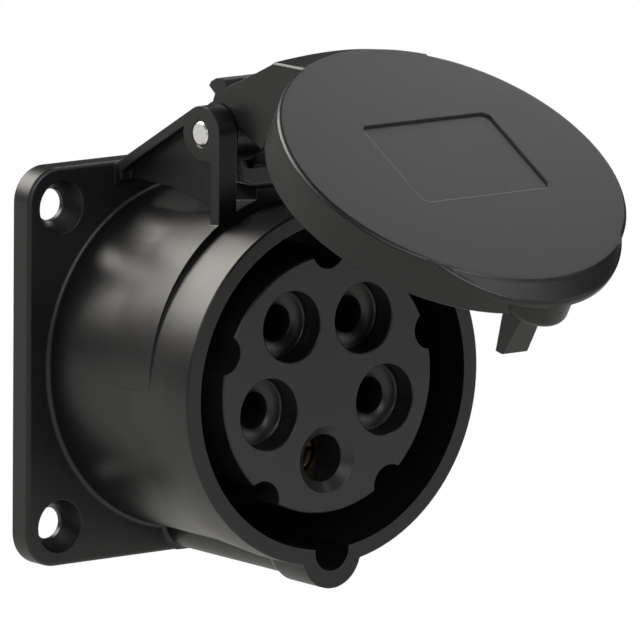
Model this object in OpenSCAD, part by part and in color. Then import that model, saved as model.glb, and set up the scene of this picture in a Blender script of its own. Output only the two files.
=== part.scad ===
// Industrial five-pin panel socket with a hinged lid. Millimetres.
// X to the right seen from the front, Z up, the plug comes in along -Y. Back of the flange is Y = 0.

/* [Flange] */
// side of the square flange
flange_w = 75; // [75:0.5:80]
// thickness of the flange
flange_t = 4.7; // [4.5:0.1:6]
// corner radius of the flange
flange_corner = 6.5; // [5:0.5:7]
// distance of the fixing holes from the flange's sides
hole_inset = 7.5; // [7:0.25:8]
// radius of the fixing holes
hole_r = 3; // [2.2:0.1:3.2]
// radius of the countersink at the front face
sink_r = 5; // [4.5:0.1:5.5]

/* [Barrel] */
// outer radius of the barrel behind the collar
barrel_r = 32.8; // [32.6:0.1:33.2]
// outer radius of the collar
collar_r = 33.8; // [33.7:0.1:34.2]
// distance from the back of the flange to the rim
rim_f = 48.36; // [48:0.1:50]
// radius of the opening that takes the plug's collar
plug_r = 30.7; // [30.3:0.1:30.8]
// height of the plug collar opening's floor above the back of the flange
floor_f = 12; // [10:0.5:14]
// rise of the upper shell above the collar
shell_rise = 1.3; // [0.8:0.1:1.4]

/* [Keyway] */
// radius of the keyway slot
key_r = 3.9; // [3.6:0.1:4]
// distance of the slot's centre below the barrel's axis
key_drop = 30.9; // [30.6:0.1:31.2]
// outer radius of the boss around the slot
key_boss_r = 6.7; // [6.5:0.1:7]

/* [Contacts] */
// radius of the contact insert
insert_r = 24.2; // [23.8:0.1:24.4]
// distance of the insert's face behind the rim
insert_set = 1.7; // [1:0.1:3]
// radius of the circle the contacts are on
contact_circle = 14.15; // [14:0.05:14.3]
// radius of a live contact's pin
live_pin = 2.5; // [2.4:0.05:2.6]
// radius of the earth contact's pin
earth_pin = 3.5; // [3.4:0.05:3.6]
// radius of the recess round a live contact
recess_r = 6.6; // [6.4:0.1:6.8]
// length the rear carrier stands out behind the flange
rear_len = 15; // [14:0.5:15.5]

/* [Hinge] */
// height of the hinge pin above the barrel's axis
pin_u = 46.1; // [46:0.1:48]
// distance of the hinge pin from the back of the flange
pin_f = 30.66; // [30.2:0.1:31]
// radius of the hinge pin
pin_r = 2.25; // [1.8:0.05:2.4]
// half distance over the outsides of the ears
ear_out = 17.7; // [17.5:0.1:18.2]
// half distance between the insides of the ears
ear_in = 13.66; // [13.5:0.02:13.8]

/* [Lid] */
// opening angle of the lid as it stands
lid_open = 59.5; // [5:0.1:95]
// radius of the lid
lid_r = 33.5; // [33:0.1:33.6]
// depth of the lid's skirt
skirt_len = 8.5; // [8:0.1:9]
// height of the lid's centre above the barrel's axis when shut
lid_rise = 0.9; // [0.5:0.1:1]

/* [Hidden] */
fine = 96;
mid = 64;
small = 40;
// clearances: skirt over the rim when shut, pin in knuckle, pin in ear, fixed parts, gasket over the rim
lid_gap = 0.45;
pin_gap = 0.06;
ear_gap = 0.03;
fix_gap = 0.1;
seal_gap = 0.05;
// flange
edge_r = 0.8;
sink_deep = 3.7;
hole_half = flange_w / 2 - hole_inset;
gasket_t = 1.6;
gasket_half = flange_w / 2 - 3.9;
gasket_corner = 4.2;
gasket_bore = 30.6;
// barrel
root_r = 0.9;
rim_edge = 0.4;
flare_start = 28.6;
flare_end = 42;
shell_front = 36.4;
shell_back = 12;
shell_tilt = atan(shell_rise / (shell_front - 20));
shell_r1 = barrel_r - 0.5;
shell_r2 = collar_r - 0.5;
bulkhead_t = 3;
back_bore = 28.5;
carrier_hole = 22.2;
// keyway
boss_drop = 31.4;
boss_back = 36.5;
boss_slope = 2.4;
rib_r = 5.77;
blend_r = 1.6;
// insert
insert_f = rim_f - insert_set;
neck_r = carrier_hole - fix_gap;
notch_r = 3.75;
notch_at = 25.25;
live_angles = [342, 54, 126, 198];
earth_angle = 270;
notch_angles = [18, 90, 162, 234, 306];
screw_angles = [90, 234, 306];
screw_circle = 17.2;
// guides
guide_deep = 4.6;
guide_t = 3.2;
guide_r = recess_r - 0.1;
guide_hole = live_pin + 0.93;
guide_mouth = live_pin + 2.36;
// sleeves
sleeve_wall = 0.8;
live_bore = live_pin + 0.03;
earth_bore = earth_pin + 0.03;
live_tip = insert_f - 10;
earth_tip = insert_f - 10;
slit_w = 0.7;
slit_len = 16;
wire_deep = 13;
term_back = -(rear_len - 2.3);
term_screw_f = term_back + 6.5;
term_r = 4.1;
earth_term_r = 4.6;
groove = 0.3;
spring_wire = 0.45;
clamp_r = 1.75;
clamp_head = 2.7;
// rear carrier
rear_r = 25;
term_hole = term_r + fix_gap;
earth_term_hole = earth_term_r + fix_gap;
// hinge
ear_top_r = 5.3;
ear_top_f = 31.1;
ear_top_u = pin_u - 0.1;
ear_front = ear_top_f + ear_top_r;
pocket_deep = 2.2;
leg_back = 31.3;
block_half = 9;
block_round = 0.9;
block_wall = 0.8;
block_floor = 34.7;
block_top = 36.3;
block_back = 26;
seat_w = 1.9;
seat_lo = 33;
pin_half = ear_out + 0.2;
ear_bevel = 0.35;
// lid, measured from the hinge pin: v up when shut, n forwards
lid_v = -(pin_u - lid_rise);
lid_n = rim_f - pin_f + lid_gap + skirt_len;
lid_edge = 0.8;
lid_top = 2;
skirt_wall = 1.2;
skirt_draft = 0.25;
seal_in = lid_r - 4.2;
seal_t = 3.2;
arm_half = ear_in - 0.36;
arm_t = 2.2;
arm_round = 0.8;
// crown of the web: a cone round the lid's axis that starts at the lid's rim
crown_drop = 0.74;
crown_slope = 0.65;
crown_reach = 22;
crown_t = 2.1;
rear_edge = 0.12;
reach = 90;
knuckle_r = 5.75;
knuckle_in = 7.5;
lip_start = 27;
lip_tilt = 10.4;
lip_r = 24.95;
lip_back = 13.6;
lip_t = 1.6;
lip_edge = 0.5;
lid_boss_r = 6.57;
lid_boss_at = 31.56;
lid_boss_edge = 1.7;
hook_half = 3;
hook_round = 1.1;
hook_out = lid_r - 0.7;
panel_w = 29.4;
panel_h = 22.2;
panel_corner = 1.6;
panel_deep = 0.35;
// lid spring
coil_r = 4.5;
wire_r = 0.55;
coil_half = 6.6;
coil_turns = 8;

plastic = [0.11, 0.11, 0.115];
brass = [0.71, 0.55, 0.24];
steel = [0.78, 0.78, 0.76];
rubber = [0.06, 0.06, 0.06];

// Drawn with x right, y up and z towards the front, then stood up in the row frame.
module stand() {
  rotate([90, 0, 0]) children();
}

// A side view with points [forwards, up], drawn between two x values.
module side(x0, x1) {
  translate([x1, 0, 0]) rotate([0, -90, 0]) linear_extrude(x1 - x0) children();
}

// A round bar along x.
module bar_x(x0, x1, r, sides = small) {
  translate([x0, 0, 0]) rotate([0, 90, 0]) cylinder(h = x1 - x0, r = r, $fn = sides);
}

// A round bar towards the front between two heights.
module bar_f(f0, f1, r, sides = small) {
  translate([0, 0, f0]) cylinder(h = f1 - f0, r = r, $fn = sides);
}

module round_rect(w, h, r) {
  square([w - 2 * r, h], center = true);
  square([w, h - 2 * r], center = true);
  for (x = [-1, 1], y = [-1, 1])
    translate([x * (w / 2 - r), y * (h / 2 - r)]) circle(r = r, $fn = small);
}

// Points of an arc, in steps, for edge roundings.
function arc(cx, cy, r, a0, a1, n) =
  [for (i = [0:n]) let (a = a0 + (a1 - a0) * i / n) [cx + r * cos(a), cy + r * sin(a)]];

function at(angle, r) = [r * cos(angle), r * sin(angle), 0];

module flange_edge(half) {
  e = edge_r;
  polygon(concat(
    [[-half, 0], [half, 0]],
    arc(half - e, flange_t - e, e, 0, 90, 5),
    arc(-half + e, flange_t - e, e, 90, 180, 5)));
}

module flange_body() {
  half = flange_w / 2;
  c = half - flange_corner;
  e = edge_r;
  translate([0, c, 0]) rotate([90, 0, 0]) linear_extrude(2 * c) flange_edge(half);
  rotate([0, 0, 90]) translate([0, c, 0]) rotate([90, 0, 0]) linear_extrude(2 * c) flange_edge(half);
  for (x = [-c, c], y = [-c, c]) translate([x, y, 0]) rotate_extrude($fn = mid)
    polygon(concat(
      [[0, 0], [flange_corner, 0]],
      arc(flange_corner - e, flange_t - e, e, 0, 90, 5),
      [[0, flange_t]]));
}

module fixing_hole() {
  rotate_extrude($fn = small)
    polygon([
      [0, -1], [hole_r, -1], [hole_r, flange_t - sink_deep], [sink_r, flange_t],
      [sink_r + 0.5, flange_t + 1], [0, flange_t + 1]
    ]);
}

module barrel_outside() {
  root = barrel_r + root_r;
  rotate_extrude($fn = fine)
    polygon(concat(
      [[0, 0], [root + 1, 0], [root + 1, flange_t - 1], [root, flange_t]],
      arc(root, flange_t + root_r, root_r, 270, 180, 5),
      [[barrel_r, flare_start], [collar_r, flare_end]],
      arc(collar_r - rim_edge, rim_f - rim_edge, rim_edge, 0, 90, 4),
      [[0, rim_f]]));
}

module upper_shell() {
  intersection() {
    translate([0, 0, 20]) rotate([-shell_tilt, 0, 0]) translate([0, 0, shell_back - 20])
      cylinder(h = 40 - shell_back, r1 = shell_r1, r2 = shell_r2 + 0.25, $fn = fine);
    translate([-reach / 2, 0.01, shell_back]) cube([reach, reach, shell_front - shell_back]);
  }
}

// Fills the corner between two round outlines with a hollow radius.
module hollow_corner(big_r, small_r, drop, r) {
  sink = 0.04;
  a = big_r + r;
  b = small_r + r;
  y = (a * a - b * b + drop * drop) / (2 * drop);
  x = sqrt(a * a - y * y);
  start = atan2(y, -x);
  end = atan2(y - drop, -x);
  bend = arc(x, -y, r, start, end < 0 ? end + 360 : end, 7);
  outline = concat(
    [[0, 0], [x, -y] * (big_r - sink) / a], [for (i = [1:6]) bend[i]],
    [[x, drop - y] * (small_r - sink) / b - [0, drop], [0, -drop]]);
  for (s = [-1, 1]) polygon([for (q = outline) [s * q[0], q[1]]]);
}

module key_outside() {
  full = boss_back + boss_slope;
  translate([0, 0, full]) linear_extrude(rim_f - full) {
    translate([0, -boss_drop]) circle(r = key_boss_r, $fn = small);
    hollow_corner(collar_r - 0.6, key_boss_r, boss_drop, blend_r);
  }
  translate([0, -boss_drop, boss_back])
    cylinder(h = boss_slope, r1 = rib_r + 0.1, r2 = key_boss_r, $fn = small);
  linear_extrude(full + 1) {
    translate([0, -boss_drop]) circle(r = rib_r, $fn = small);
    hollow_corner(barrel_r - 0.3, rib_r, boss_drop, blend_r);
  }
  root = rib_r + root_r;
  intersection() {
    translate([0, -boss_drop, flange_t - 0.5]) rotate_extrude($fn = small)
      polygon(concat(
        [[0, 0], [root, 0]],
        arc(root, root_r + 0.5, root_r, 270, 180, 4),
        [[0, root_r + 0.5]]));
    translate([-root - 1, -flange_w / 2 + 0.02, 0]) cube([2 * root + 2, 20, 12]);
  }
}

module ear_outline() {
  difference() {
    union() {
      translate([ear_top_f, ear_top_u]) circle(r = ear_top_r, $fn = mid);
      polygon([
        [flange_t - 1, 33.2], [flange_t - 1, 37], [flange_t + 0.8, 37.3], [8.25, 39.1],
        [ear_top_f - ear_top_r * sin(29.4), ear_top_u + ear_top_r * cos(29.4)],
        [ear_top_f, ear_top_u], [ear_front, ear_top_u], [ear_front, 27],
        [leg_back, 27], [leg_back, 31.6], [30.7, 32.3], [20.9, 34.4], [8.1, 34.6], [6.4, 34.2], [5.3, 33.2]
      ]);
    }
    translate([pin_f, pin_u]) circle(r = pin_r + ear_gap, $fn = small);
  }
}

module ear_pocket() {
  difference() {
    polygon([
      [6.6, 20], [6.6, 35.8], [9.13, 37.5], [19.28, 43.33], [26.4, 47.35], [33.9, 47.2], [33.9, 20]
    ]);
    translate([pin_f, pin_u]) circle(r = 5.1, $fn = mid);
    translate([pin_f, pin_u - 5.1]) square([5, 8]);
  }
}

module ear() {
  difference() {
    side(-ear_out, -ear_in) ear_outline();
    side(-ear_out - 1, -ear_out + pocket_deep) ear_pocket();
    translate([-ear_out - 0.01, pin_u, pin_f]) rotate([0, 90, 0])
      cylinder(h = ear_bevel, r1 = pin_r + ear_gap + ear_bevel, r2 = pin_r + ear_gap, $fn = small);
  }
}

// A low tray between the ears. The spring's leg stands in its seat.
module spring_block() {
  r = block_round;
  inside = block_half - block_wall;
  difference() {
    side(-block_half, block_half)
      polygon(concat(
        [[block_back, 28], [ear_front, 28]],
        arc(ear_front - r, block_top - r, r, 0, 90, 4),
        [[block_back, block_top]]));
    translate([-inside, block_floor, block_back - 1])
      cube([2 * inside, 5, ear_front - block_back - block_wall]);
    translate([-coil_half - seat_w / 2, seat_lo, 28]) cube([seat_w, 5, 6]);
  }
}

module housing() {
  color(plastic) stand() difference() {
    union() {
      flange_body();
      barrel_outside();
      upper_shell();
      key_outside();
      ear();
      mirror([1, 0, 0]) ear();
      spring_block();
    }
    bar_f(floor_f, rim_f + 1, plug_r, fine);
    bar_f(-1, floor_f + 1, carrier_hole, fine);
    bar_f(-1, floor_f - bulkhead_t, back_bore, fine);
    translate([0, -key_drop, 0]) bar_f(floor_f, rim_f + 1, key_r);
    for (x = [-1, 1], y = [-1, 1]) translate([x * hole_half, y * hole_half, 0]) fixing_hole();
    translate([0, 0, -1]) linear_extrude(gasket_t + 1) gasket_outline(0);
  }
}

// The gasket's outline, smaller all round by a clearance.
module gasket_outline(less) {
  difference() {
    round_rect(2 * (gasket_half - less), 2 * (gasket_half - less), gasket_corner - less);
    circle(r = gasket_bore + less, $fn = fine);
    for (x = [-1, 1], y = [-1, 1])
      translate([x * hole_half, y * hole_half]) circle(r = hole_r + 2.6 + less, $fn = small);
  }
}

module flange_gasket() {
  color(rubber) stand() linear_extrude(gasket_t) gasket_outline(fix_gap);
}

module insert_body() {
  rotate_extrude($fn = fine)
    polygon([
      [0, floor_f - bulkhead_t], [neck_r, floor_f - bulkhead_t], [neck_r, floor_f],
      [insert_r, floor_f], [insert_r, insert_f - 0.3], [insert_r - 0.3, insert_f], [0, insert_f]
    ]);
}

module live_hollow() {
  under = insert_f - guide_deep - guide_t;
  outer = live_bore + sleeve_wall;
  rotate_extrude($fn = small)
    polygon([
      [0, -1], [outer + fix_gap, -1], [outer + fix_gap, floor_f + 2], [outer + 1.1, floor_f + 2],
      [outer + 1.1, under], [recess_r, under], [recess_r, insert_f - 0.25], [recess_r + 0.25, insert_f],
      [recess_r + 1.25, insert_f + 1], [0, insert_f + 1]
    ]);
}

module earth_hollow() {
  outer = earth_bore + sleeve_wall;
  rotate_extrude($fn = small)
    polygon([
      [0, -1], [outer + fix_gap, -1], [outer + fix_gap, floor_f + 2], [outer + 1.1, floor_f + 2],
      [outer + 1.1, earth_tip + 0.6], [4.45, earth_tip + 0.6], [4.45, insert_f - 1.6],
      [6.1, insert_f - 0.25], [6.4, insert_f], [7.4, insert_f + 1], [0, insert_f + 1]
    ]);
}

module contact_insert() {
  color(plastic) stand() difference() {
    insert_body();
    for (a = notch_angles) translate(at(a, notch_at)) bar_f(floor_f, insert_f + 1, notch_r);
    for (a = live_angles) translate(at(a, contact_circle)) live_hollow();
    translate(at(earth_angle, contact_circle)) earth_hollow();
    for (a = screw_angles) translate(at(a, screw_circle)) bar_f(-1, floor_f + 9, 1.2, 24);
  }
}

module pin_guide(a) {
  top = insert_f - guide_deep;
  color(plastic) stand() translate(at(a, contact_circle)) rotate_extrude($fn = small)
    polygon([
      [guide_hole, top - guide_t], [guide_r, top - guide_t], [guide_r, top - 0.7],
      [guide_r - 0.2, top - 0.35], [guide_r - 0.7, top], [guide_mouth, top], [guide_hole, top - 0.6]
    ]);
}

// The hollow for a terminal, its wire and its clamp screw.
module terminal_hollow(a, r) {
  translate(at(a, contact_circle)) {
    bar_f(term_back - 0.2, floor_f, r);
    bar_f(-rear_len - 1, floor_f, 3.1);
    rotate([0, 0, a]) translate([0, 0, term_screw_f]) bar_x(0, 20, clamp_head + 0.3);
  }
}

module terminal_block() {
  seat = floor_f - bulkhead_t;
  color(plastic) stand() difference() {
    rotate_extrude($fn = fine)
      polygon([
        [0, -rear_len], [rear_r - 0.8, -rear_len], [rear_r, -rear_len + 0.8], [rear_r, seat], [0, seat]
      ]);
    for (a = live_angles) terminal_hollow(a, term_hole);
    terminal_hollow(earth_angle, earth_term_hole);
    for (a = screw_angles) translate(at(a, screw_circle)) {
      bar_f(-rear_len - 1, floor_f, 1.7, 24);
      bar_f(-rear_len - 1, -8, 3.1, small);
    }
  }
}

// A sleeve split at its front end, with a wire hole and a clamp screw hole at its rear end.
module contact(a, bore, tip, shank) {
  step = floor_f - bulkhead_t - 0.4;
  outer = bore + sleeve_wall;
  color(brass) stand() translate(at(a, contact_circle)) difference() {
    rotate_extrude($fn = small)
      polygon([
        [0, term_back], [shank - 0.4, term_back], [shank, term_back + 0.4], [shank, step], [outer, step],
        [outer, tip - 3], [outer - groove, tip - 3], [outer - groove, tip - 1.8], [outer, tip - 1.8],
        [outer, tip - 0.3], [outer - 0.3, tip], [bore + 0.25, tip], [bore, tip - 0.4],
        [bore, tip - 24], [0, tip - 25]
      ]);
    translate([0, -slit_w / 2, tip - slit_len]) cube([shank + 2, slit_w, slit_len + 1]);
    bar_f(term_back - 1, term_back + wire_deep, 2.3);
    rotate([0, 0, a]) translate([0, 0, term_screw_f]) bar_x(0, 8, clamp_r + 0.03, 24);
  }
}

// An open ring of wire in the groove round the sleeve.
module sleeve_spring(a, bore, tip) {
  color(steel) stand() translate(at(a, contact_circle)) translate([0, 0, tip - 2.4])
    rotate([0, 0, 12]) rotate_extrude(angle = 336, $fn = small)
      translate([bore + sleeve_wall - groove + spring_wire + 0.02, 0]) circle(r = spring_wire, $fn = 12);
}

module clamp_screw(shank) {
  rotate([0, 90, 0]) difference() {
    rotate_extrude($fn = small)
      polygon([
        [0, 0.6], [clamp_r - 0.4, 0.6], [clamp_r, 1], [clamp_r, shank + 0.3], [clamp_head, shank + 0.3],
        [clamp_head, shank + 2.3], [clamp_head - 0.4, shank + 2.7], [0, shank + 2.7]
      ]);
    translate([-4, -0.45, shank + 1.5]) cube([8, 0.9, 3]);
  }
}

module clamp_screw_at(a, shank) {
  translate(at(a, contact_circle)) rotate([0, 0, a]) translate([0, 0, term_screw_f]) clamp_screw(shank);
}

module terminal_screws() {
  color(steel) stand() {
    for (a = live_angles) clamp_screw_at(a, term_r);
    clamp_screw_at(earth_angle, earth_term_r);
  }
}

module insert_screws() {
  color(steel) stand() for (a = screw_angles) translate(at(a, screw_circle)) difference() {
    rotate_extrude($fn = small)
      polygon([
        [0, -11.2], [1.9, -11.2], [2.7, -10.4], [2.7, -8], [1.15, -8],
        [1.15, floor_f + 6.5], [0, floor_f + 8]
      ]);
    translate([-2, -0.35, -12]) cube([4, 0.7, 1.7]);
    translate([-0.35, -2, -12]) cube([0.7, 4, 1.7]);
  }
}

module hinge_pin() {
  c = 0.3;
  color(steel) stand() translate([-pin_half, pin_u, pin_f]) rotate([0, 90, 0]) rotate_extrude($fn = small)
    polygon([
      [0, 0], [pin_r - c, 0], [pin_r, c],
      [pin_r, 2 * pin_half - c], [pin_r - c, 2 * pin_half], [0, 2 * pin_half]
    ]);
}

// Drawn shut from the hinge pin, with y up and z forwards, then opened.
module on_hinge() {
  stand() translate([0, pin_u, pin_f]) rotate([-lid_open, 0, 0]) children();
}

// Drawn on the lid's top face: x right, y up when shut, z outwards.
module on_lid() {
  translate([0, lid_v, lid_n]) children();
}

module lid_shell() {
  out = lid_r - skirt_draft;
  groove_top = -skirt_len + seal_t - 0.05;
  rotate_extrude($fn = fine)
    polygon(concat(
      [[0, -lid_top], [seal_in, -lid_top], [seal_in, groove_top], [lid_r - skirt_wall, groove_top],
       [lid_r - skirt_wall, -skirt_len + 0.2], [lid_r - skirt_wall + 0.2, -skirt_len],
       [out - 0.3, -skirt_len], [out, -skirt_len + 0.3]],
      arc(lid_r - lid_edge, -lid_edge, lid_edge, 0, 90, 6),
      [[0, 0]]));
  // the plate's rear edge is sharp between the arms
  intersection() {
    rotate_extrude($fn = fine)
      polygon([
        [seal_in, -lid_top], [lid_r, -lid_top], [lid_r, -rear_edge], [lid_r - rear_edge, 0], [seal_in, 0]
      ]);
    translate([-arm_half - arm_round, 0, -lid_top - 1])
      cube([2 * (arm_half + arm_round), reach, lid_top + 2]);
  }
}

// Drawn on the lip's own plane, which falls away outwards.
module on_lip() {
  translate([0, -lip_start, 0]) rotate([lip_tilt, 0, 0]) translate([0, lip_back, 0]) children();
}

module lip() {
  e = lip_edge;
  r = lid_r;
  inner = lid_r - 2.7;
  difference() {
    union() {
      intersection() {
        on_lip() rotate_extrude($fn = fine)
          polygon(concat(
            [[0, -lip_t], [lip_r - 0.3, -lip_t], [lip_r, -lip_t + 0.3]],
            arc(lip_r - e, -e, e, 0, 90, 5),
            [[0, 0]]));
        translate([-reach / 2, -reach + 10, -14]) cube([reach, reach, 13.98]);
      }
      intersection() {
        on_lip() translate([0, 0, -6]) cylinder(h = 14, r = lip_r - e, $fn = fine);
        rotate_extrude($fn = fine)
          polygon([
            [inner, -0.01], [r, -0.01], [r + 0.3, -0.25], [r + 0.9, -0.5], [r + 1.9, -0.87],
            [r + 3.1, -1.42], [r + 4.7, -2.05], [r + 4.7, -3.2], [r - 0.5, -2], [inner, -1.5]
          ]);
        translate([-reach / 2, -reach - 18, -14]) cube([reach, reach, 14]);
      }
    }
    translate([0, 0, -14]) cylinder(h = 16, r = inner + 0.2, $fn = fine);
  }
}

module key_boss() {
  r = lid_boss_r;
  e = lid_boss_edge;
  in = lid_r - skirt_wall;
  slope = tan(lip_tilt);
  under = [for (y = [lip_start - 7, lip_start, in + 7]) [-0.4 - slope * max(y - lip_start, 0), -y]];
  difference() {
    intersection() {
      translate([0, -lid_boss_at, -skirt_len]) rotate_extrude($fn = small)
        polygon(concat(
          [[0, 0], [r - e, 0]],
          arc(r - e, e, e, 270, 360, 6),
          [[r, skirt_len], [0, skirt_len]]));
      side(-r - 1, r + 1)
        polygon(concat([[-skirt_len - 1, -in - 7], [-skirt_len - 1, 7 - lip_start]], under));
    }
    translate([0, 0, -skirt_len - 1]) cylinder(h = skirt_len + 2, r = in + 0.3, $fn = fine);
  }
}

// The hook that catches the plug's collar, its outer corners rounded.
module hook() {
  e = hook_round;
  intersection() {
    side(-hook_half, hook_half) polygon([
      [-1.3, 4.3 - hook_out], [-12.3, 4.2 - hook_out], [-19, 2.3 - hook_out], [-18.4, 0.5 - hook_out],
      [-8.7, -hook_out], [-4.3, -hook_out], [-1.3, 2.8 - hook_out]
    ]);
    translate([0, 0, -reach / 2]) linear_extrude(reach)
      polygon(concat(
        [[hook_half, 0], [-hook_half, 0]],
        arc(e - hook_half, e - hook_out, e, 180, 270, 5),
        arc(hook_half - e, e - hook_out, e, 270, 360, 5)));
  }
}

module arm_outline() {
  polygon([
    [3.5, -4.2], [4.2, -5.5], [5.1, -11.8], [lid_n - skirt_len, -11.8], [lid_n - skirt_len, -16],
    [lid_n, -16], [lid_n, -8.7], [24.6, -7.7], [20.2, -6], [16.3, -3.3], [15, -2.3], [12, -0.2], [10, 1.4],
    [8, 2.7], [9, 3.8], [9, 4.6], [7.9, 5.9], [6.5, 6.8], [5.4, 6.9], [5.2, 4.7], [3.6, 4.5], [0, 0]
  ]);
  circle(r = knuckle_r, $fn = small);
}

// The cross web's rear wall and the bar behind the pin, from the side.
module web_outline() {
  polygon([
    [15, -2.3], [16.3, -3.3], [20.2, -6], [24.6, -7.7], [24.6, -9.8], [19.6, -8], [15.6, -5.3], [14, -3.9]
  ]);
}

module bar_outline() {
  polygon([
    [5.4, 6.9], [6.5, 6.8], [7.9, 5.9], [9, 4.6], [9, 3.8], [7.7, 3.6], [6.7, 4.4], [5.2, 4.7]
  ]);
}

// All that is in front of the web's rear face, from the side.
module before_web() {
  polygon([[16.3, -3.3], [20.2, -6], [24.6, -7.7], [lid_n + 3, -8.7], [lid_n + 3, -16], [16.3, -16]]);
}

// The crown's outline from the rim outwards, lowered by a distance.
function crown_line(down) = [
  [lid_r + crown_reach, -crown_drop - crown_slope * crown_reach - down], [lid_r, -crown_drop - down],
  [lid_r - 3, -crown_drop - down]
];

// Rounds the long upper edges of the arms. The edges are straight and rise towards the lid.
module arm_envelope() {
  w = arm_half - arm_round;
  // height of the crown over the arm's outer side at two distances behind the lid's axis
  near = 31;
  far = 39;
  high = [for (y = [near, far]) -crown_drop - crown_slope * (norm([arm_half, y]) - lid_r)];
  rise = atan2(high[0] - high[1], far - near);
  roof = 15;
  top = -arm_round * (1 - sin(roof)) / cos(roof);
  on_lid() translate([0, far, high[1]]) rotate([90 - rise, 0, 0]) translate([0, 0, -20]) linear_extrude(60)
    polygon(concat(
      [[-arm_half, -reach], [arm_half, -reach]],
      arc(w, top, arm_round, 0, 90 - roof, 4),
      [[0, arm_half * tan(roof) + 0.02]],
      arc(-w, top, arm_round, 90 + roof, 180, 4)));
}

module arms() {
  difference() {
    intersection() {
      union() {
        for (s = [0, 1]) mirror([s, 0, 0]) side(-arm_half, -arm_half + arm_t) arm_outline();
        side(-arm_half, arm_half) web_outline();
        side(-arm_half, arm_half) bar_outline();
        intersection() {
          side(-arm_half, arm_half) before_web();
          on_lid() rotate_extrude($fn = fine)
            polygon(concat(crown_line(0), [for (i = [2, 1, 0]) crown_line(crown_t)[i]]));
        }
      }
      on_lid() rotate_extrude($fn = fine)
        polygon(concat([[0, -reach], [lid_r + crown_reach, -reach]], crown_line(0), [[0, -crown_drop]]));
      arm_envelope();
    }
    on_lid() translate([0, 0, -skirt_len - 1]) cylinder(h = skirt_len - 1.2, r = lid_r - 0.7, $fn = fine);
  }
  for (s = [0, 1]) mirror([s, 0, 0]) bar_x(-arm_half, -knuckle_in, knuckle_r);
}

module lid() {
  color(plastic) on_hinge() difference() {
    union() {
      on_lid() {
        lid_shell();
        lip();
        key_boss();
        hook();
      }
      arms();
    }
    bar_x(-ear_in - 1, ear_in + 1, pin_r + pin_gap);
    on_lid() translate([1.7, 1.5, -panel_deep])
      linear_extrude(2) round_rect(panel_w, panel_h, panel_corner);
  }
}

module lid_gasket() {
  outer = lid_r - skirt_wall - 0.05;
  low = -skirt_len - lid_gap + seal_gap;
  high = -skirt_len + seal_t - 0.05;
  color(rubber) on_hinge() on_lid() difference() {
    rotate_extrude($fn = fine)
      polygon([
        [seal_in, low], [outer, low], [outer, high], [seal_in, high]
      ]);
    translate([-hook_half - 0.2, -reach - seal_in + 5, -12]) cube([2 * hook_half + 0.4, reach, 10]);
  }
}

// A wire along a list of points, each ring square to its own direction.
module wire(points, r, sides) {
  n = len(points);
  dirs = [for (i = [0:n - 1]) let (d = points[min(i + 1, n - 1)] - points[max(i - 1, 0)]) d / norm(d)];
  rings = [for (i = [0:n - 1])
    let (d = dirs[i], a = [1, 0, 0], u = cross(d, a) / norm(cross(d, a)), w = cross(d, u))
    for (k = [0:sides - 1]) let (t = 360 * k / sides) points[i] + r * cos(t) * u + r * sin(t) * w];
  faces = concat(
    [[for (k = [0:sides - 1]) k]],
    [for (i = [0:n - 2], k = [0:sides - 1]) let (a = i * sides, b = a + sides, m = (k + 1) % sides)
      each [[a + k, b + k, b + m], [a + k, b + m, a + m]]],
    [[for (k = [sides - 1:-1:0]) (n - 1) * sides + k]]);
  polyhedron(points = rings, faces = faces, convexity = 10);
}

// The coil round the pin with one leg down into the block's seat and one leg back under the lid's bar.
module lid_spring() {
  steps = 18;
  // angle 0 points forwards and 90 up; the coil starts behind the pin and ends square to the lid's bar
  turn_deg = coil_turns * 360 + 90 - lid_open;
  count = floor(turn_deg / (360 / steps));
  coil = [for (i = [0:count]) let (a = 180 - turn_deg * i / count)
    [-coil_half + 2 * coil_half * i / count, coil_r * sin(a), coil_r * cos(a)]];
  rear = [0, sin(lid_open), cos(lid_open)];
  low = [[-coil_half, -11.8, -1.4], [-coil_half, -4.6, -4.1], [-coil_half, -1.4, -coil_r]];
  color(steel) stand() translate([0, pin_u, pin_f])
    wire(concat(low, coil, [coil[count] + 1.2 * rear, coil[count] + 4.3 * rear]), wire_r, 8);
}

housing();
flange_gasket();
contact_insert();
terminal_block();
contact(live_angles[3], live_bore, live_tip, term_r);  // contact_l1
contact(live_angles[2], live_bore, live_tip, term_r);  // contact_l2
contact(live_angles[1], live_bore, live_tip, term_r);  // contact_l3
contact(live_angles[0], live_bore, live_tip, term_r);  // contact_n
contact(earth_angle, earth_bore, earth_tip, earth_term_r);  // contact_pe
sleeve_spring(live_angles[3], live_bore, live_tip);  // sleeve_spring_l1
sleeve_spring(live_angles[2], live_bore, live_tip);  // sleeve_spring_l2
sleeve_spring(live_angles[1], live_bore, live_tip);  // sleeve_spring_l3
sleeve_spring(live_angles[0], live_bore, live_tip);  // sleeve_spring_n
sleeve_spring(earth_angle, earth_bore, earth_tip);  // sleeve_spring_pe
pin_guide(live_angles[3]);  // pin_guide_l1
pin_guide(live_angles[2]);  // pin_guide_l2
pin_guide(live_angles[1]);  // pin_guide_l3
pin_guide(live_angles[0]);  // pin_guide_n
terminal_screws();
insert_screws();
hinge_pin();
lid();
lid_gasket();
lid_spring();
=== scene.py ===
import math

import bpy
from mathutils import Matrix, Vector


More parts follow.
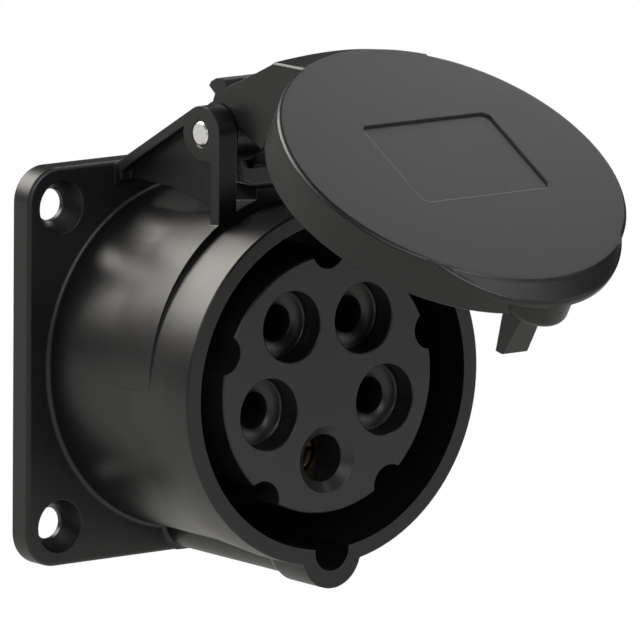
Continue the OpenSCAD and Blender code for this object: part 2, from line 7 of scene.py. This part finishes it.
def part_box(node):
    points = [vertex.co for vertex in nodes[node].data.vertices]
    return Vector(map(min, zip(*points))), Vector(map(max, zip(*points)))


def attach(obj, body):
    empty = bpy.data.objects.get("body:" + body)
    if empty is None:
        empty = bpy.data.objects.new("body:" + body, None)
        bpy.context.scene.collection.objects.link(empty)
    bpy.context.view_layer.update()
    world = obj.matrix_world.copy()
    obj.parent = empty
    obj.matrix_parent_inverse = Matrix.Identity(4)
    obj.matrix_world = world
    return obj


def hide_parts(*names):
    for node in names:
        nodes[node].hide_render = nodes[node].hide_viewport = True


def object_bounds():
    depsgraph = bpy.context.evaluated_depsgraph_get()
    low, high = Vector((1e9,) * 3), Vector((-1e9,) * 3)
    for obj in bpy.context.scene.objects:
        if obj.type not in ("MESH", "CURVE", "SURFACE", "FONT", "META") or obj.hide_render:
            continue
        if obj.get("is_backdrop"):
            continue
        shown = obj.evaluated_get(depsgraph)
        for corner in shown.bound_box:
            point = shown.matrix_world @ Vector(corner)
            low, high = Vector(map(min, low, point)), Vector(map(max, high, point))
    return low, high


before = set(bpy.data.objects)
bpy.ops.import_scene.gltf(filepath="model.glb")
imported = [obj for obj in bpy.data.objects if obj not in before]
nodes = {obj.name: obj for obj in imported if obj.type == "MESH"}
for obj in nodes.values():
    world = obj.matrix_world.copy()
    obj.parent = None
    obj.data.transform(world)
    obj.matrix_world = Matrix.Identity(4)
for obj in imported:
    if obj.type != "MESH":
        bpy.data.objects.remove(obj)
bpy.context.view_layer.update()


# Housing. One moulding of black glass-filled polyamide: the square flange, the round barrel, the hinge
# ears with their webs, the keyway and the wall inside that carries the contacts. The steel tool was
# spark eroded, so all its faces have one fine satin grain; handling has left its free edges a little
# smoother, and a lighter colour painted on them is a highlight.
def add_node(tree, kind, inputs=None, **settings):
    """Adds a node. `inputs` gives a socket its value, or (other node, output) for a link."""
    node = tree.nodes.new(kind)
    for name, value in settings.items():
        setattr(node, name, value)
    for socket, value in (inputs or {}).items():
        if isinstance(value, tuple) and isinstance(value[0], bpy.types.Node):
            tree.links.new(value[0].outputs[value[1]], node.inputs[socket])
        else:
            node.inputs[socket].default_value = value
    return node


def linear(code):
    """Linear RGBA of a colour written as six sRGB hex digits."""
    parts = [int(code[i:i + 2], 16) / 255 for i in (0, 2, 4)]
    return tuple(c / 12.92 if c <= 0.04045 else ((c + 0.055) / 1.055) ** 2.4 for c in parts) + (1.0,)


def marks(wide):
    """Scale of a pattern whose marks are `wide` millimetres across."""
    return 1000 / wide


def new_finish(name):
    """An empty material: gives back the material, its tree, and the place on the piece as a link."""
    material = bpy.data.materials.new(name)
    material.use_nodes = True
    tree = material.node_tree
    tree.nodes.clear()
    return material, tree, (add_node(tree, "ShaderNodeTexCoord"), "Object")


def give(names, material):
    """Puts one material on CAD nodes."""
    for name in names:
        slots = nodes[name].data.materials
        slots.clear()
        slots.append(material)


def moulded_polyamide(name, deep, pale, edge_highlight, roughness, grain_mm, relief_mm, edge_mm):
    """Polyamide from a spark-eroded tool: a satin face, cloudy where the fibres lie, with smoother edges
    painted lighter as a highlight.
    """
    material, tree, place = new_finish(name)
    # The tool's corners leave a small radius on every edge, which catches the light as a thin line. The
    # edge mask starts 8 degrees off the flat face, where the dot product is 0.99, and is full at 37 degrees;
    # it makes the edges smoother and paints a lighter colour on them as a highlight.
    corner = add_node(tree, "ShaderNodeBevel", {"Radius": edge_mm / 1000}, samples=6)
    face = add_node(tree, "ShaderNodeNewGeometry")
    bend = add_node(tree, "ShaderNodeVectorMath",
                    {0: (corner, 0), 1: (face, "Normal")}, operation="DOT_PRODUCT")
    edge = add_node(tree, "ShaderNodeMapRange",
                    {"Value": (bend, "Value"), "From Min": 0.99, "From Max": 0.8,
                     "To Min": 0.0, "To Max": 1.0})
    grain = add_node(tree, "ShaderNodeTexNoise",
                     {"Vector": place, "Scale": marks(grain_mm), "Detail": 2.0, "Roughness": 0.6})
    relief = add_node(tree, "ShaderNodeBump",
                      {"Height": (grain, 0), "Distance": relief_mm / 1000, "Strength": 1.0,
                       "Normal": (corner, 0)})
    # Glass fibres near the surface lie in clouds, a little greyer and duller.
    cloud_mm, cloud_dull, edge_polish = 11, 0.025, 0.08
    cloud = add_node(tree, "ShaderNodeTexNoise",
                     {"Vector": place, "Scale": marks(cloud_mm), "Detail": 3.0, "Roughness": 0.55})
    sheen = add_node(tree, "ShaderNodeMapRange",
                     {"Value": (cloud, 0), "From Min": 0.3, "From Max": 0.7,
                      "To Min": roughness - cloud_dull, "To Max": roughness + cloud_dull})
    worn = add_node(tree, "ShaderNodeMath",
                    {0: (edge, 0), 1: -edge_polish, 2: (sheen, 0)}, operation="MULTIPLY_ADD")
    body = add_node(tree, "ShaderNodeMix",
                    {0: (cloud, 0), 6: linear(deep), 7: linear(pale)}, data_type="RGBA")
    # Painted highlight: the edge mask mixes the lighter edge colour into the body colour.
    colour = add_node(tree, "ShaderNodeMix",
                      {0: (edge, 0), 6: (body, 2), 7: linear(edge_highlight)}, data_type="RGBA")
    shader = add_node(tree, "ShaderNodeBsdfPrincipled",
                      {"Base Color": (colour, 2), "Roughness": (worn, 0), "IOR": 1.53,
                       "Normal": (relief, 0)})
    add_node(tree, "ShaderNodeOutputMaterial", {"Surface": (shader, 0)})
    return material


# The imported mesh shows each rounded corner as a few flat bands. Joining its faces and weighting the
# normals by their areas keeps flat faces flat, and lets the light run smoothly over the small corners.
join_gap, slight_fold = 0.000002, math.radians(26)
join = bpy.data.node_groups.new("joined faces", "GeometryNodeTree")
join.interface.new_socket("Geometry", in_out="INPUT", socket_type="NodeSocketGeometry")
join.interface.new_socket("Geometry", in_out="OUTPUT", socket_type="NodeSocketGeometry")
packed = add_node(join, "NodeGroupInput")
whole = add_node(join, "GeometryNodeMergeByDistance", {"Geometry": (packed, 0), "Distance": join_gap})
fold = add_node(join, "GeometryNodeInputMeshEdgeAngle")
slight = add_node(join, "FunctionNodeCompare", {0: (fold, 0), 1: slight_fold}, operation="LESS_THAN")
soft_face = add_node(join, "GeometryNodeSetShadeSmooth", {0: (whole, 0), 2: True}, domain="FACE")
soft_edge = add_node(join, "GeometryNodeSetShadeSmooth", {0: (soft_face, 0), 2: (slight, 0)}, domain="EDGE")
add_node(join, "NodeGroupOutput", {0: (soft_edge, 0)})
for node in nodes.values():
    node.modifiers.new("joined faces", "NODES").node_group = join
    node.modifiers.new("even corners", "WEIGHTED_NORMAL").keep_sharp = True

# Spark-eroded grain is about 0.05 mm, under a third of a pixel here: it is drawn 0.4 mm wide so it shows.
black_plastic = moulded_polyamide(
    "moulded black polyamide", deep="0c0c0d", pale="131314", edge_highlight="28282a",
    roughness=0.38, grain_mm=0.4, relief_mm=0.0035, edge_mm=0.25)
give(["housing"], black_plastic)


# Front contact carrier. A round plate of the same polyamide in a slightly greyer batch, moulded with
# five recesses and five half-round notches in its edge, and pushed into the housing from behind.
grey_plastic = moulded_polyamide(
    "moulded grey-black polyamide", deep="1d1d1e", pale="252526", edge_highlight="303032",
    roughness=0.37, grain_mm=0.4, relief_mm=0.0035, edge_mm=0.22)
give(["contact_insert"], grey_plastic)


# Guide bushes. Four small moulded rings of black polyamide at the bottoms of the recesses, which lead
# the plug's pins in. Their tool is polished, so they shine a little more than the plate, and what is
# left of their grain is drawn 0.3 mm wide so that it shows.
bush_plastic = moulded_polyamide(
    "polished-tool black polyamide", deep="171718", pale="1d1d1e", edge_highlight="2a2a2b",
    roughness=0.32, grain_mm=0.3, relief_mm=0.002, edge_mm=0.18)
# Radii of the hole, of its mouth and of the lip's inner foot, and depths behind the front, all in mm.
hole, mouth, lip_foot = 3.43, 4.86, 6.0
lip_high, mouth_deep, bush_thick = 0.26, 0.6, 3.2
hole_round, mouth_round, rim_round = 0.1, (0.15, 0.06), 0.06
# The thin lip's inner side is hollow and catches the light as a fine line: an arc that leaves the flat
# face at 7 degrees and ends at 71 degrees, just under the lip's crest.
hollow, leave, arrive, hollow_steps = 0.36, math.radians(7), math.radians(71), 4
crest_out = 0.34
slopes = [leave + (arrive - leave) * step / hollow_steps for step in range(hollow_steps + 1)]
bushed_poles, turns = ("l1", "l2", "l3", "n"), 96
for pole in bushed_poles:
    low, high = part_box("pin_guide_" + pole)
    middle = (low + high) / 2
    outer = (high.x - low.x) / 2 * 1000
    # Each point is a radius and a depth. The outline runs from the hole's back round the front.
    outline = [(hole, bush_thick), (hole, mouth_deep + hole_round), (hole + hole_round, mouth_deep),
               (mouth - mouth_round[0], lip_high + mouth_round[1]), (mouth, lip_high)]
    outline += [(lip_foot + hollow * (math.sin(slope) - math.sin(leave)),
                 lip_high - hollow * (math.cos(leave) - math.cos(slope))) for slope in slopes]
    outline += [(lip_foot + crest_out, 0.0), (outer - rim_round, 0.0),
                (outer, rim_round), (outer, bush_thick)]
    count = len(outline)
    points, faces = [], []
    for step in range(turns):
        angle = 2 * math.pi * step / turns
        points += [(middle.x + radius * math.cos(angle) / 1000, low.y + depth / 1000,
                    middle.z + radius * math.sin(angle) / 1000) for radius, depth in outline]
        here, there = step * count, (step + 1) % turns * count
        for corner in range(count):
            following = (corner + 1) % count
            faces.append((here + corner, here + following, there + following, there + corner))
    mesh = bpy.data.meshes.new("bush_" + pole)
    mesh.from_pydata(points, [], faces)
    mesh.shade_smooth()
    mesh.set_sharp_from_angle(angle=math.radians(50))
    mesh.materials.append(bush_plastic)
    bush = bpy.data.objects.new("bush_" + pole, mesh)
    bpy.context.scene.collection.objects.link(bush)
    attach(bush, "socket")
    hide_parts("pin_guide_" + pole)


# Contacts. Five split sleeves turned from brass rod, the earth sleeve larger and further forward. Bare
# brass with the lathe's fine rings on every face: the earth sleeve is bright, with a few dull patches,
# and the four behind the bushes are coloured dark brown, with darker patches, as painted shade for
# their deep holes.
def bare_metal(tree, main_or_shade_tone, stain_or_shade_tone, stain, dull, height, deep_mm):
    """Ends a bare metal's tree: two colours by the mask `stain`, the roughness `dull`, marks in relief."""
    colour = add_node(tree, "ShaderNodeMix",
                      {0: stain, 6: linear(main_or_shade_tone), 7: linear(stain_or_shade_tone)}, data_type="RGBA")
    relief = add_node(tree, "ShaderNodeBump", {"Height": height, "Distance": deep_mm / 1000, "Strength": 1.0})
    shader = add_node(tree, "ShaderNodeBsdfPrincipled",
                      {"Base Color": (colour, 2), "Metallic": 1.0, "Roughness": (dull, 0),
                       "Normal": (relief, 0)})
    add_node(tree, "ShaderNodeOutputMaterial", {"Surface": (shader, 0)})


poles = bushed_poles + ("pe",)
# The dark brown pair is painted shade: it darkens the four sleeves that sit deep behind the bushes.
bright, painted_shade_brass = ("dcb970", "a5854a"), ("5c492b", "3a2e1c")
# The lathe's feed is about 0.1 mm a turn: its rings are drawn 0.35 mm apart so that they show, round the
# sleeve and on its end. A wave node's bands are 6.28 / 20 of a unit apart at scale 1.
ring_mm, ring_deep_mm, patch_mm = 0.35, 0.006, 2.2
ring_scale = marks(ring_mm) * 6.28 / 20
for pole in poles:
    # Painted shade: the sleeves behind the bushes take the dark brown pair.
    main_or_shade_tone, patch_or_shade_tone = painted_shade_brass if pole in bushed_poles else bright
    low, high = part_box("sleeve_spring_" + pole)
    axis = (low + high) / 2
    brass, tree, place = new_finish("turned brass " + pole)
    centred = add_node(tree, "ShaderNodeMapping", {"Vector": place, "Location": (-axis.x, 0, -axis.z)})
    side = add_node(tree, "ShaderNodeTexWave",
                    {"Vector": (centred, 0), "Scale": ring_scale, "Distortion": 0.3},
                    wave_type="BANDS", bands_direction="Y")
    end = add_node(tree, "ShaderNodeTexWave",
                   {"Vector": (centred, 0), "Scale": ring_scale, "Distortion": 0.3},
                   wave_type="RINGS", rings_direction="Y")
    rings = add_node(tree, "ShaderNodeMath", {0: (side, "Fac"), 1: (end, "Fac")}, operation="ADD")
    patch = add_node(tree, "ShaderNodeTexNoise", {"Vector": place, "Scale": marks(patch_mm), "Detail": 4.0})
    oxide = add_node(tree, "ShaderNodeMapRange", {"Value": (patch, 0), "From Min": 0.42, "From Max": 0.68})
    dull = add_node(tree, "ShaderNodeMapRange", {"Value": (oxide, 0), "To Min": 0.24, "To Max": 0.42})
    bare_metal(tree, main_or_shade_tone, patch_or_shade_tone, (oxide, 0), dull, (rings, 0), ring_deep_mm)
    give(["contact_" + pole], brass)


# Sleeve springs. Rings of drawn spring steel wire that press each split sleeve on the plug's pin. Drawn
# wire is a soft grey, with darker specks where the drawing soap has stayed on it.
speck_mm, speck_deep_mm = 0.5, 0.004
wire_steel, tree, place = new_finish("drawn spring steel wire")
speck = add_node(tree, "ShaderNodeTexNoise", {"Vector": place, "Scale": marks(speck_mm), "Detail": 3.0})
soap = add_node(tree, "ShaderNodeMapRange", {"Value": (speck, 0), "From Min": 0.45, "From Max": 0.7})
dull = add_node(tree, "ShaderNodeMapRange", {"Value": (soap, 0), "To Min": 0.28, "To Max": 0.45})
bare_metal(tree, "a3a3a0", "6f6e6a", (soap, 0), dull, (speck, 0), speck_deep_mm)
give(["sleeve_spring_" + pole for pole in poles], wire_steel)


# Rear contact carrier. A block of black polyamide that holds the sleeves from behind, with a hollow over
# each clamp screw. Its tool was left coarser, as nobody sees it, so it is duller than the housing. Its
# grain of about 0.1 mm is drawn 0.6 mm wide so that it shows.
rear_plastic = moulded_polyamide(
    "coarse black polyamide", deep="1d1d1e", pale="262627", edge_highlight="303031",
    roughness=0.44, grain_mm=0.6, relief_mm=0.007, edge_mm=0.25)
give(["terminal_block"], rear_plastic)


# Clamp screws and carrier screws. Steel screws, the clamp screws slotted and the carrier screws with a
# cross, in clear zinc plating: bright bluish grey with paler crystals about 1 mm wide, and a dull bloom
# in patches of 3 mm.
crystal_mm, crystal_deep_mm, bloom_mm = 1.0, 0.004, 3
zinc, tree, place = new_finish("zinc-plated steel")
crystal = add_node(tree, "ShaderNodeTexVoronoi", {"Vector": place, "Scale": marks(crystal_mm)})
bloom = add_node(tree, "ShaderNodeTexNoise", {"Vector": place, "Scale": marks(bloom_mm), "Detail": 3.0})
dull = add_node(tree, "ShaderNodeMapRange",
                {"Value": (bloom, 0), "From Min": 0.35, "From Max": 0.7, "To Min": 0.26, "To Max": 0.42})
bare_metal(tree, "aeb1b4", "c3c6c8", (crystal, "Color"), dull, (crystal, 0), crystal_deep_mm)
give(["terminal_screws", "insert_screws"], zinc)


# Gaskets. Soft black EPDM rubber: the flange's is cut from sheet and lies in the recess at its back, the
# lid's is a moulded ring in the lid's skirt. Matt, with a thin greyish bloom of talc in patches.
rubber, tree, place = new_finish("matt black EPDM rubber")
talc_mm = 5
talc = add_node(tree, "ShaderNodeTexNoise", {"Vector": place, "Scale": marks(talc_mm), "Detail": 4.0})
# The rubber's pores are about 0.1 mm and are drawn 0.3 mm wide so that they show.
pore_mm, pore_deep_mm = 0.3, 0.01
pores = add_node(tree, "ShaderNodeTexNoise", {"Vector": place, "Scale": marks(pore_mm), "Detail": 2.0})
colour = add_node(tree, "ShaderNodeMix",
                  {0: (talc, 0), 6: linear("131313"), 7: linear("1f1f1e")}, data_type="RGBA")
matt = add_node(tree, "ShaderNodeMapRange",
                {"Value": (talc, 0), "From Min": 0.3, "From Max": 0.7, "To Min": 0.68, "To Max": 0.82})
relief = add_node(tree, "ShaderNodeBump",
                  {"Height": (pores, 0), "Distance": pore_deep_mm / 1000, "Strength": 1.0})
shader = add_node(tree, "ShaderNodeBsdfPrincipled",
                  {"Base Color": (colour, 2), "Roughness": (matt, 0), "IOR": 1.52, "Normal": (relief, 0)})
add_node(tree, "ShaderNodeOutputMaterial", {"Surface": (shader, 0)})
give(["flange_gasket", "lid_gasket"], rubber)


# Lid. One moulding of the housing's polyamide: the dished disc, its skirt and lip, the hook and the two
# arms that turn on the hinge pin. Its tool is a touch finer, so its top reflects a little more clearly.
lid_plastic = moulded_polyamide(
    "moulded black polyamide lid", deep="0c0c0d", pale="131314", edge_highlight="28282a",
    roughness=0.36, grain_mm=0.4, relief_mm=0.0035, edge_mm=0.25)
give(["lid"], lid_plastic)


# Hinge pin. A stainless steel rod pushed through both ears, its ends ground flat. The grinding leaves
# fine straight lines and an almost white end.
pin_steel, tree, place = new_finish("ground stainless steel")
# The wheel's scratches are 0.02 mm wide and run up and down: drawn 0.12 mm wide so that they show.
scratch_inward_mm, scratch_wide_mm, scratch_long_mm, scratch_deep_mm = 0.5, 0.12, 2, 0.003
drawn_out = add_node(tree, "ShaderNodeMapping",
                     {"Vector": place,
                      "Scale": (marks(scratch_inward_mm), marks(scratch_wide_mm), marks(scratch_long_mm))})
scratch = add_node(tree, "ShaderNodeTexNoise", {"Vector": (drawn_out, 0), "Scale": 1.0, "Detail": 2.0})
dull = add_node(tree, "ShaderNodeMapRange", {"Value": (scratch, 0), "To Min": 0.2, "To Max": 0.32})
bare_metal(tree, "ececea", "fafaf8", (scratch, 0), dull, (scratch, 0), scratch_deep_mm)
give(["hinge_pin"], pin_steel)


# Lid spring. A torsion spring of the same drawn wire as the sleeve springs, wound round the hinge pin:
# one leg presses on the housing and the other on the lid.
give(["lid_spring"], wire_steel)


# Studio. A wide floor of matt white paper well below the object, white to the camera, under a ring of
# soft boxes. The strongest stand behind on the left, for the barrel's long highlight, and in front.
world = bpy.data.worlds.new("white studio")
bpy.context.scene.world = world
world.use_nodes = True
tree = world.node_tree
tree.nodes.clear()
path = add_node(tree, "ShaderNodeLightPath")
seen = add_node(tree, "ShaderNodeBackground", {"Color": linear("ffffff"), "Strength": 1.0})
room = add_node(tree, "ShaderNodeBackground", {"Color": linear("f4f6ff"), "Strength": 0.06})
both = add_node(tree, "ShaderNodeMixShader", {0: (path, "Is Camera Ray"), 1: (room, 0), 2: (seen, 0)})
add_node(tree, "ShaderNodeOutputWorld", {"Surface": (both, 0)})

floor_z, floor_half = -0.16, 3.0
corners = [(x * floor_half, y * floor_half, floor_z) for x, y in ((-1, -1), (1, -1), (1, 1), (-1, 1))]
floor_mesh = bpy.data.meshes.new("floor")
floor_mesh.from_pydata(corners, [], [(0, 1, 2, 3)])
floor = bpy.data.objects.new("floor", floor_mesh)
bpy.context.scene.collection.objects.link(floor)
white, tree, place = new_finish("matt white paper")
path = add_node(tree, "ShaderNodeLightPath")
paper = add_node(tree, "ShaderNodeBsdfDiffuse", {"Color": linear("f0f0ee")})
# Shiny pieces mirror the paper at two thirds of white, as bright as the real ones show it.
mirrored = add_node(tree, "ShaderNodeEmission", {"Color": linear("fffdf8"), "Strength": 0.68})
seen = add_node(tree, "ShaderNodeEmission", {"Color": linear("ffffff"), "Strength": 1.0})
lower = add_node(tree, "ShaderNodeMixShader", {0: (path, "Is Glossy Ray"), 1: (paper, 0), 2: (mirrored, 0)})
both = add_node(tree, "ShaderNodeMixShader", {0: (path, "Is Camera Ray"), 1: (lower, 0), 2: (seen, 0)})
add_node(tree, "ShaderNodeOutputMaterial", {"Surface": (both, 0)})
floor_mesh.materials.append(white)
floor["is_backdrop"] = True


def towards(turn, height):
    """Direction away from the object, turned from its front to its right and raised, in degrees."""
    turn, height = math.radians(turn), math.radians(height)
    return Vector((math.sin(turn) * math.cos(height), -math.cos(turn) * math.cos(height), math.sin(height)))


def soft_box(name, turn, height, away, wide, tall, level, colour="ffffff"):
    """A soft box that faces the object. Sizes are in metres, and level 1 shows as white in a mirror."""
    light = bpy.data.lights.new(name, "AREA")
    light.shape = "RECTANGLE"
    light.size, light.size_y = wide, tall
    light.energy = level * math.pi * wide * tall
    light.color = linear(colour)[:3]
    lamp = bpy.data.objects.new(name, light)
    lamp.location = towards(turn, height) * away
    lamp.rotation_euler = (-towards(turn, height)).to_track_quat("-Z", "Y").to_euler()
    bpy.context.scene.collection.objects.link(lamp)


soft_box("front", turn=-5, height=30, away=1.0, wide=0.5, tall=0.5, level=5.0)
soft_box("front left", turn=-42, height=27, away=1.0, wide=0.4, tall=0.5, level=1.9)
soft_box("front right", turn=45, height=15, away=1.0, wide=0.4, tall=0.4, level=1.5)
soft_box("high front", turn=38, height=55, away=1.0, wide=0.4, tall=0.4, level=2.0)
soft_box("high right", turn=118, height=43, away=0.5, wide=0.24, tall=0.22, level=1.6)
soft_box("right", turn=116, height=36, away=1.0, wide=0.4, tall=0.4, level=1.5)
soft_box("behind left", turn=206, height=40, away=1.0, wide=0.75, tall=0.72, level=7.0, colour="fffaf2")
soft_box("left", turn=245, height=33, away=1.0, wide=0.5, tall=0.5, level=2.4)


# Camera. Its place was solved from the flange, the four holes and the rims in the photograph: a turn,
# height and tilt in degrees, a distance and shifts to the right and up in mm, and a focal length in pixels.
camera_turn, camera_height, tilt = -37.846, 10.031, math.radians(0.491)
distance, shift_right, shift_up = 2443.379, 27.143, 5.052
focal_px, picture_px, sensor_mm = 13080.1, 640, 36
back = towards(camera_turn, camera_height)
level_right = towards(camera_turn + 90, 0)
level_up = back.cross(level_right)
right = level_right * math.cos(tilt) + level_up * math.sin(tilt)
up = level_up * math.cos(tilt) - level_right * math.sin(tilt)
lens = bpy.data.cameras.new("photograph")
lens.sensor_width = sensor_mm
lens.lens = focal_px * sensor_mm / picture_px
lens.clip_end = 10
camera = bpy.data.objects.new("photograph", lens)
facing = Matrix((right, up, back)).transposed().to_4x4()
place = (shift_right * right + shift_up * up + distance * back) / 1000
camera.matrix_world = Matrix.Translation(place) @ facing
bpy.context.scene.collection.objects.link(camera)
bpy.context.scene.camera = camera
bpy.context.scene.view_settings.view_transform = "Standard"


low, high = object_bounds()
